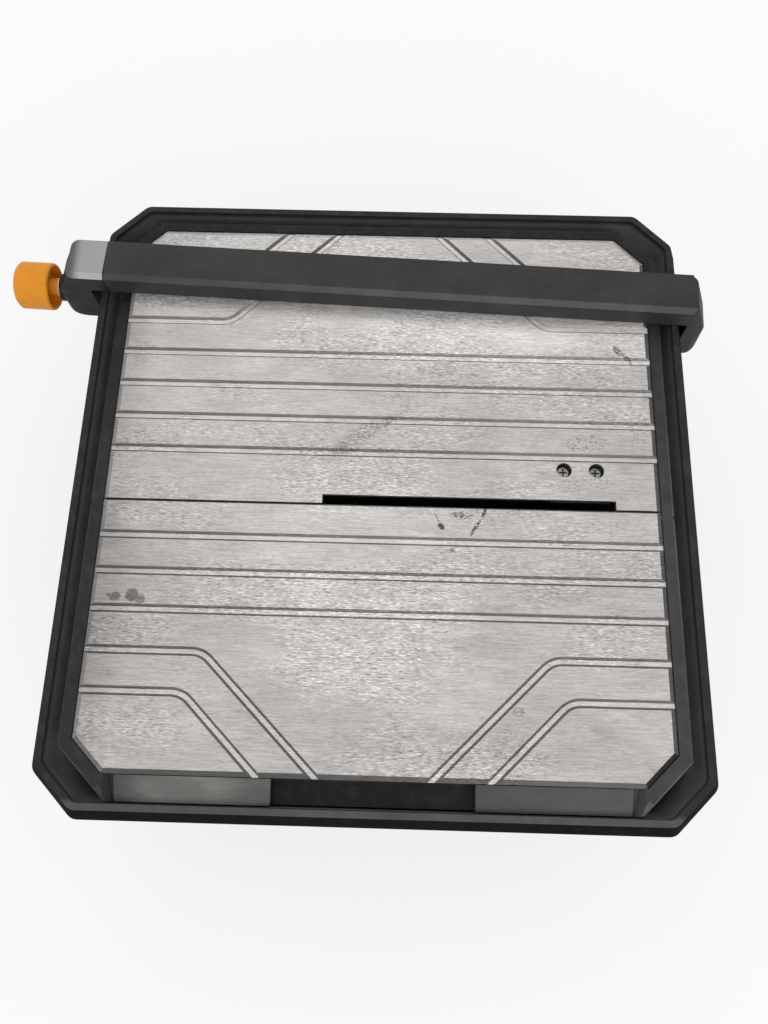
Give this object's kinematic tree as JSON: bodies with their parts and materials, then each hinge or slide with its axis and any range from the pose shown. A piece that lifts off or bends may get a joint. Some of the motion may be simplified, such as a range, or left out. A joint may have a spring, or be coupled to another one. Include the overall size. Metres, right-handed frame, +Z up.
{
  "type": "wet tile saw",
  "caption": "Table-top wet tile saw body: black water tray, split grooved aluminium table with blade slot and tilting front, rip fence clamped over the rim by an orange knob.",
  "frame": {"origin": "on the floor under the middle of the whole saw, feet at z = 0", "axes": "+X to the saw's right, away from the clamp knob; +Y to the back, where the fence stands; +Z up. The operator stands at -Y."},
  "size_m": [0.507, 0.4409, 0.183],
  "materials": {
    "tub_black": "moulded black plastic with a fine grain",
    "deck_grey": "moulded dark grey plastic, smooth satin",
    "apron_grey": "mid-grey satin enamel",
    "table_aluminium": "machined casting with fine sideways tool lines, dull from use",
    "bright_steel": "bright zinc-plated steel",
    "cast_bracket": "rough casting",
    "motor_black": "black enamel",
    "lamination_steel": "stacked steel sheets, oiled",
    "winding_copper": "varnished copper wire",
    "fan_black": "moulded black plastic",
    "capacitor_can": "light grey can",
    "switch_black": "moulded black plastic",
    "rocker_red": "moulded red plastic",
    "black_rubber": "matt black rubber",
    "fence_grey": "dark grey, fine matt",
    "cap_grey": "light grey satin",
    "nut_brass": "turned brass",
    "knob_orange": "moulded amber-orange plastic"
  },
  "bodies": {
    "base": {"base_tub": "tub_black", "deck_frame": "deck_grey", "front_apron_left": "apron_grey", "front_apron_right": "apron_grey", "rear_table_plate": "table_aluminium", "knife_bracket": "bright_steel", "bracket_screw_left": "bright_steel", "bracket_screw_right": "bright_steel", "motor_bracket": "cast_bracket", "motor_can": "motor_black", "motor_rear_bell": "cast_bracket", "stator": "lamination_steel", "winding_front": "winding_copper", "winding_rear": "winding_copper", "front_bearing": "bright_steel", "rear_bearing": "bright_steel", "shaft_seal": "black_rubber", "bay_gasket": "black_rubber", "capacitor": "capacitor_can", "capacitor_strap": "bright_steel", "switch_box": "switch_black", "cord_gland": "black_rubber", "foot_front_left": "black_rubber", "foot_rear_left": "black_rubber", "foot_front_right": "black_rubber", "foot_rear_right": "black_rubber", "base_screw_front_left": "bright_steel", "base_screw_rear_left": "bright_steel", "base_screw_front_right": "bright_steel", "base_screw_rear_right": "bright_steel"},
    "fence": {"fence_bar": "fence_grey", "clamp_leg": "fence_grey", "clamp_cap": "cap_grey", "clamp_nut": "nut_brass", "joint_screw": "bright_steel"},
    "pad": {"clamp_pad": "black_rubber"},
    "knob": {"clamp_knob": "knob_orange", "clamp_spindle": "bright_steel", "clamp_washer": "bright_steel"},
    "arbor": {"arbor_shaft": "bright_steel", "rotor_core": "lamination_steel", "cooling_fan": "fan_black", "inner_flange": "bright_steel", "outer_flange": "bright_steel", "arbor_nut": "bright_steel"},
    "front_table": {"front_table_plate": "table_aluminium", "hinge_pin_left": "bright_steel", "hinge_pin_right": "bright_steel"},
    "stay": {"bevel_stay": "bright_steel"},
    "switch": {"switch_rocker": "rocker_red"},
    "drain": {"drain_plug": "black_rubber", "drain_seal": "black_rubber"}
  },
  "joints": [
    {"name": "fence_slide", "type": "slide", "parent": "base", "child": "fence", "axis": [0, 1, 0], "range_m": [-0.295, 0.012]},
    {"name": "clamp_travel", "type": "slide", "parent": "fence", "child": "pad", "axis": [-0.9991, 0.0422, 0], "range_m": [0, 0.00501]},
    {"name": "knob_turn", "type": "hinge", "parent": "pad", "child": "knob", "pos_m": [-0.23806, 0.15769, 0.1425], "axis": [-0.9991, 0.0422, 0], "range_deg": [0, 1440]},
    {"name": "arbor_spin", "type": "hinge", "parent": "base", "child": "arbor", "pos_m": [0.0667, 0, 0.11], "axis": [0, 1, 0], "continuous": true},
    {"name": "table_tilt", "type": "hinge", "parent": "base", "child": "front_table", "pos_m": [0.0267, -0.0208, 0.1618], "axis": [-1, 0, 0], "range_deg": [0, 45]},
    {"name": "stay_fold", "type": "hinge", "parent": "front_table", "child": "stay", "pos_m": [0.0267, -0.1458, 0.149], "axis": [-1, 0, 0], "range_deg": [0, 63]},
    {"name": "switch_tip", "type": "hinge", "parent": "base", "child": "switch", "pos_m": [-0.1713, -0.12, 0.103], "axis": [0, 0, -1], "range_deg": [0, 10]},
    {"name": "drain_pull", "type": "slide", "parent": "base", "child": "drain", "axis": [0, -1, 0], "range_m": [0, 0.03]}
  ],
  "couplings": [
    {"joint": "clamp_travel", "follows": "knob_turn", "m_per_rad": 0.00019894}
  ]
}
